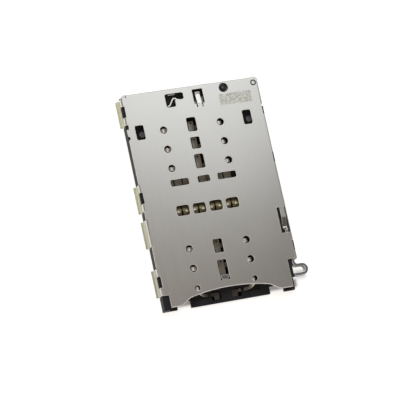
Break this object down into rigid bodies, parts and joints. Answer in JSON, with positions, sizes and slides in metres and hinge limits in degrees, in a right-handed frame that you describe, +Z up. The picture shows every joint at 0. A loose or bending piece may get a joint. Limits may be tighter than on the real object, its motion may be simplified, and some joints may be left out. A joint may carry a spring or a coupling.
{
  "type": "sim card socket",
  "caption": "Low tray-type SIM card socket: folded steel shell over a moulded housing with spring contacts, and a side push rod whose lever ejects the tray.",
  "frame": {"origin": "on the board plane, in the middle of the shell's footprint", "axes": "+X across the socket towards the push rod, +Y from the tray mouth to the back, +Z up from the board"},
  "size_m": [0.0201, 0.0281, 0.0015],
  "materials": {
    "shell_steel": "satin rolled stainless sheet, gold-flashed solder feet",
    "housing_plastic": "matte glass-filled moulding",
    "contact_metal": "plated spring strip",
    "contact_gold": "gold-plated spring strip",
    "ejector_steel": "stamped stainless, bright sheared edges"
  },
  "bodies": {
    "frame": {"shell": "shell_steel", "housing": "housing_plastic", "left_rail": "housing_plastic", "right_rail": "housing_plastic", "pivot_post": "housing_plastic", "back_contact_1": "contact_metal", "back_contact_2": "contact_metal", "back_contact_3": "contact_metal", "back_contact_4": "contact_metal", "back_contact_5": "contact_metal", "back_contact_6": "contact_metal", "front_contact_1": "contact_metal", "front_contact_2": "contact_metal", "front_contact_3": "contact_metal", "front_contact_4": "contact_metal", "front_contact_5": "contact_metal", "front_contact_6": "contact_metal", "memory_contact_1": "contact_gold", "memory_contact_2": "contact_gold", "memory_contact_3": "contact_gold", "memory_contact_4": "contact_gold", "memory_contact_5": "contact_gold", "memory_contact_6": "contact_gold", "memory_contact_7": "contact_gold", "memory_contact_8": "contact_gold", "detect_spring": "contact_metal", "detect_terminal": "contact_metal"},
    "push_rod": {"push_rod": "ejector_steel"},
    "ejector_lever": {"ejector_lever": "ejector_steel"}
  },
  "joints": [
    {"name": "push_rod_slide", "type": "slide", "parent": "frame", "child": "push_rod", "axis": [0, -1, 0], "range_m": [0, 0.0016]},
    {"name": "lever_pivot", "type": "hinge", "parent": "frame", "child": "ejector_lever", "pos_m": [0.0045, 0.01305, 0.0009], "axis": [0, 0, -1], "range_deg": [0, 22.57]}
  ],
  "couplings": [
    {"joint": "lever_pivot", "follows": "push_rod_slide", "rad_per_m": 246.11}
  ]
}
